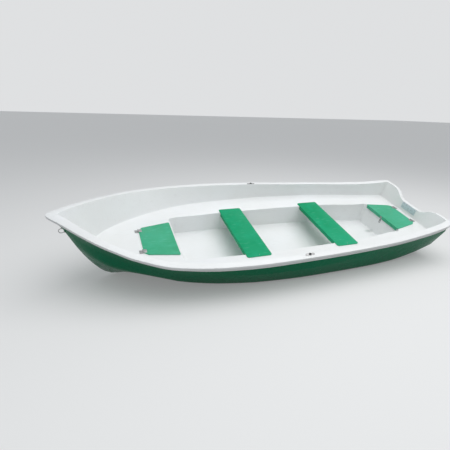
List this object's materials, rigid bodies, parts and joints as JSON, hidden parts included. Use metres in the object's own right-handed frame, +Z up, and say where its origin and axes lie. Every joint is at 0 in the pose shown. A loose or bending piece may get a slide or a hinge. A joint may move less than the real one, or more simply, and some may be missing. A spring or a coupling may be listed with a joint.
{
  "type": "rowing boat",
  "caption": "Open moulded rowing boat with a V bottom, raised bow, inner liner with side ledges, thwarts, hinged locker lids and a notched transom, lying heeled ashore.",
  "frame": {"origin": "on the ground under the centre of the boat's box, the boat lying heeled to port on its keel and port bottom panel", "axes": "+X from bow to stern, +Y to starboard, +Z up; the boat's own upright is turned 15.76 degrees about +X"},
  "size_m": [4.2705, 1.5386, 0.7598],
  "materials": {
    "hull_gelcoat": "dark green gelcoat",
    "liner_gelcoat": "white gelcoat, slightly weathered",
    "panel_gelcoat": "green gelcoat",
    "steel": "stainless steel",
    "plate": "dull aluminium",
    "socket": "black moulded plastic"
  },
  "bodies": {
    "boat": {"hull": "hull_gelcoat", "liner": "liner_gelcoat", "thwart_front": "panel_gelcoat", "thwart_rear": "panel_gelcoat", "bow_hinge_port_deck_leaf": "steel", "bow_hinge_starboard_deck_leaf": "steel", "stern_hinge_port_deck_leaf": "steel", "stern_hinge_starboard_deck_leaf": "steel", "hasp": "steel", "bow_eye": "steel", "motor_plate": "plate", "rowlock_socket_port": "socket", "rowlock_socket_starboard": "socket", "rowlock_plate_port": "steel", "rowlock_plate_starboard": "steel"},
    "bow_lid": {"bow_lid": "panel_gelcoat", "bow_hinge_port_lid_leaf": "steel", "bow_hinge_starboard_lid_leaf": "steel"},
    "stern_lid": {"stern_lid": "panel_gelcoat", "stern_hinge_port_lid_leaf": "steel", "stern_hinge_starboard_lid_leaf": "steel", "staple": "steel"}
  },
  "joints": [
    {"name": "bow_lid_hinge", "type": "hinge", "parent": "boat", "child": "bow_lid", "pos_m": [-1.32827, 0.04467, 0.36383], "axis": [0, -0.9624, -0.2716], "range_deg": [0, 110]},
    {"name": "stern_lid_hinge", "type": "hinge", "parent": "boat", "child": "stern_lid", "pos_m": [1.99536, 0.03131, 0.41117], "axis": [0, 0.9624, 0.2716], "range_deg": [0, 100]}
  ]
}
